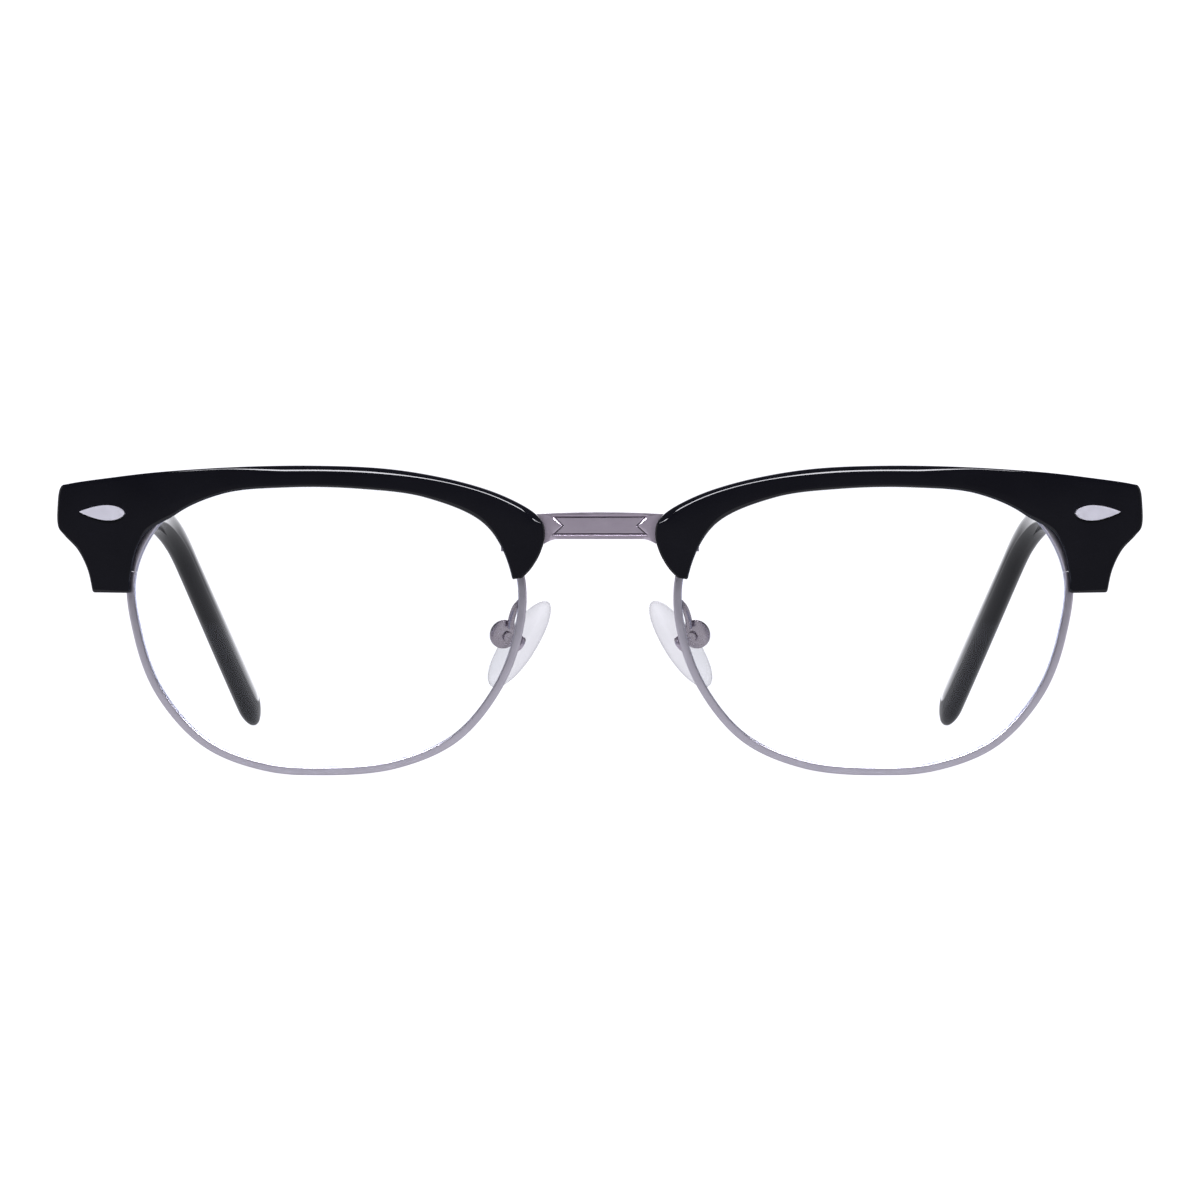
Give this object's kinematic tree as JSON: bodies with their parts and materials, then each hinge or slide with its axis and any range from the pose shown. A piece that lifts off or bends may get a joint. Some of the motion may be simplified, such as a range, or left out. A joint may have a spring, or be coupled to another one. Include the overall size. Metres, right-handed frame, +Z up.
{
  "type": "half rim eyeglasses",
  "caption": "Browline eyeglasses with acetate brows over metal rims, clear lenses, adjustable nose pads and folding acetate temples.",
  "frame": {"origin": "middle of the whole pair of glasses, on the surface that the rims and the temple tips stand on", "axes": "+Z up, the front faces -Y, +X towards the wearer's left, temples run back along +Y"},
  "size_m": [0.143, 0.1392, 0.0404],
  "materials": {
    "acetate": "polished black acetate",
    "gunmetal": "satin gunmetal plating",
    "screw_steel": "turned steel",
    "core_steel": "drawn wire",
    "lens": "clear, polished",
    "silicone": "clear satin silicone"
  },
  "bodies": {
    "front": {"bridge": "gunmetal", "left_rim": "gunmetal", "left_lens": "lens", "left_brow": "acetate", "left_plaque": "gunmetal", "left_closing_block_upper": "gunmetal", "left_closing_block_lower": "gunmetal", "left_closing_screw": "screw_steel", "left_endpiece": "gunmetal", "left_hinge_front": "gunmetal", "left_hinge_screw": "screw_steel", "left_brow_screws": "screw_steel", "left_nasal_screw": "screw_steel", "left_pad_arm": "gunmetal", "left_pad_box": "gunmetal", "left_pad_screw": "screw_steel", "right_rim": "gunmetal", "right_lens": "lens", "right_brow": "acetate", "right_plaque": "gunmetal", "right_closing_block_upper": "gunmetal", "right_closing_block_lower": "gunmetal", "right_closing_screw": "screw_steel", "right_endpiece": "gunmetal", "right_hinge_front": "gunmetal", "right_hinge_screw": "screw_steel", "right_brow_screws": "screw_steel", "right_nasal_screw": "screw_steel", "right_pad_arm": "gunmetal", "right_pad_box": "gunmetal", "right_pad_screw": "screw_steel"},
    "left_arm": {"left_hinge_rear": "gunmetal", "left_temple": "acetate", "left_temple_screws": "screw_steel", "left_core_wire": "core_steel"},
    "left_pad": {"left_pad_insert": "gunmetal", "left_nose_pad": "silicone"},
    "right_arm": {"right_hinge_rear": "gunmetal", "right_temple": "acetate", "right_temple_screws": "screw_steel", "right_core_wire": "core_steel"},
    "right_pad": {"right_pad_insert": "gunmetal", "right_nose_pad": "silicone"}
  },
  "joints": [
    {"name": "left_temple_fold", "type": "hinge", "parent": "front", "child": "left_arm", "pos_m": [0.06415, -0.05693, 0.0344], "axis": [0, 0, 1], "range_deg": [0, 88]},
    {"name": "right_temple_fold", "type": "hinge", "parent": "front", "child": "right_arm", "pos_m": [-0.06415, -0.05693, 0.0344], "axis": [0, 0, -1], "range_deg": [0, 83]},
    {"name": "left_pad_rock", "type": "hinge", "parent": "front", "child": "left_pad", "pos_m": [0.0125, -0.06051, 0.01816], "axis": [-0.3848, -0.8858, -0.2594], "range_deg": [-10, 10]},
    {"name": "right_pad_rock", "type": "hinge", "parent": "front", "child": "right_pad", "pos_m": [-0.0125, -0.06051, 0.01816], "axis": [0.3848, -0.8858, -0.2594], "range_deg": [-10, 10]}
  ]
}
